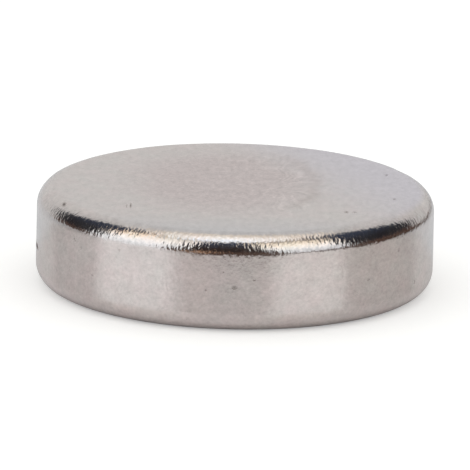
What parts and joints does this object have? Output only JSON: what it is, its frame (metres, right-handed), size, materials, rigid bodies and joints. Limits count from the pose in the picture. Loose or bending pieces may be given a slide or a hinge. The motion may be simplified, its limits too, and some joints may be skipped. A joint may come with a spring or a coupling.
{
  "type": "disc magnet",
  "caption": "Small round disc magnet with flat faces, a straight wall and rounded rims, plated in bright nickel. It holds steel parts or is glued into a pocket.",
  "frame": {"origin": "centre of the lower flat face, on the disc's axis", "axes": "+Z along the disc's axis, out of the upper flat face; the disc is round, so X and Y are free"},
  "size_m": [0.012, 0.012, 0.003],
  "materials": {
    "nickel_plate": "gloss"
  },
  "bodies": {
    "root": {"magnet": "nickel_plate"}
  },
  "joints": []
}
